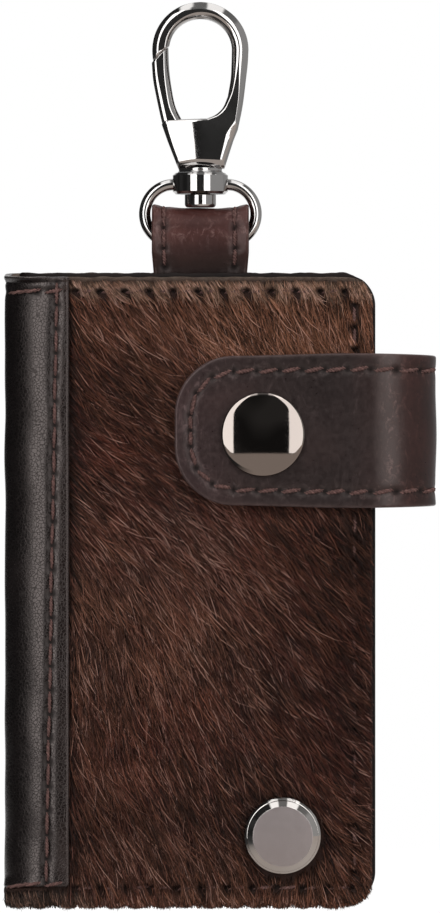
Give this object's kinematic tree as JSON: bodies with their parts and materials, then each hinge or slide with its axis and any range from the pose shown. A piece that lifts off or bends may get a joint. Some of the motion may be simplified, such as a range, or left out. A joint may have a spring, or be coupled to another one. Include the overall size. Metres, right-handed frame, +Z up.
{
  "type": "key case",
  "caption": "Slim folded key case of haired hide with a leather spine, a snap strap, a key post with a round knob, and a swivel snap hook on a leather tab.",
  "frame": {"origin": "inside top of the hook's eye, on the hook's own turning axis and in the middle of its thickness", "axes": "+X to the right seen from the front, +Y away from the front cover, +Z up along the hanging case"},
  "size_m": [0.0701, 0.0187, 0.146],
  "materials": {
    "polished_nickel": "polished nickel plate over a zinc casting",
    "brushed_nickel": "satin nickel plate, fine lapping marks",
    "spring_steel": "bright spring wire and screw steel",
    "haired_hide": "dark brown hide with its short hair left on",
    "lining_leather": "smooth dark brown lining, painted edges",
    "spine_leather": "smooth near-black brown leather, fine pebble",
    "strap_leather": "waxed dark brown leather, burnished edges",
    "tab_leather": "waxed reddish brown leather",
    "seam_thread": "twisted polyester sewing thread, dusty brown",
    "spacer_plastic": "matt black moulded washers"
  },
  "bodies": {
    "hook": {"hook_body": "polished_nickel", "gate_pin": "polished_nickel", "gate_spring": "spring_steel", "swivel_pin": "polished_nickel"},
    "gate": {"gate": "polished_nickel"},
    "ring": {"swivel_ring": "polished_nickel"},
    "case": {"hang_tab": "tab_leather", "hang_tab_thread": "seam_thread", "outer_hide": "haired_hide", "lining": "lining_leather", "spine_band": "spine_leather", "spine_thread": "seam_thread", "cover_thread": "seam_thread", "strap_anchor": "strap_leather", "strap_anchor_lining": "lining_leather", "strap_anchor_thread": "seam_thread", "snap_stud": "polished_nickel", "snap_rivet": "polished_nickel", "post_barrel": "polished_nickel"},
    "strap": {"strap_outer": "strap_leather", "strap_lining": "lining_leather", "strap_thread": "seam_thread", "snap_cap": "polished_nickel", "snap_socket": "polished_nickel", "snap_spring": "spring_steel"},
    "washer": {"knob_washer": "polished_nickel"},
    "knob": {"knob": "brushed_nickel", "knob_screw": "spring_steel"},
    "spacers": {"key_spacers": "spacer_plastic"}
  },
  "joints": [
    {"name": "gate_hinge", "type": "hinge", "parent": "hook", "child": "gate", "pos_m": [-0.00437, 0, -0.01847], "axis": [0, 1, 0], "range_deg": [0, 28], "stiffness_Nm_per_rad": 0.002, "springref_deg": -57.3},
    {"name": "hook_swivel", "type": "hinge", "parent": "hook", "child": "ring", "pos_m": [0, 0, -0.0267], "axis": [0, 0, 1], "continuous": true},
    {"name": "ring_tilt", "type": "hinge", "parent": "ring", "child": "case", "pos_m": [0, 0, -0.0356], "axis": [1, 0, 0], "range_deg": [-85, 85]},
    {"name": "strap_open", "type": "hinge", "parent": "case", "child": "strap", "pos_m": [0.02995, 0.0076, -0.0668], "axis": [0, 0, 1], "range_deg": [0, 150]},
    {"name": "knob_lift", "type": "slide", "parent": "case", "child": "washer", "axis": [0, -1, 0], "range_m": [0, 0.0025]},
    {"name": "knob_turn", "type": "hinge", "parent": "washer", "child": "knob", "pos_m": [0.0133, -0.00625, -0.1322], "axis": [0, -1, 0], "range_deg": [0, 1800]},
    {"name": "spacer_turn", "type": "hinge", "parent": "case", "child": "spacers", "pos_m": [0.0133, 0, -0.1322], "axis": [0, 1, 0], "continuous": true}
  ],
  "couplings": [
    {"joint": "knob_turn", "follows": "knob_lift", "rad_per_m": 12566}
  ]
}
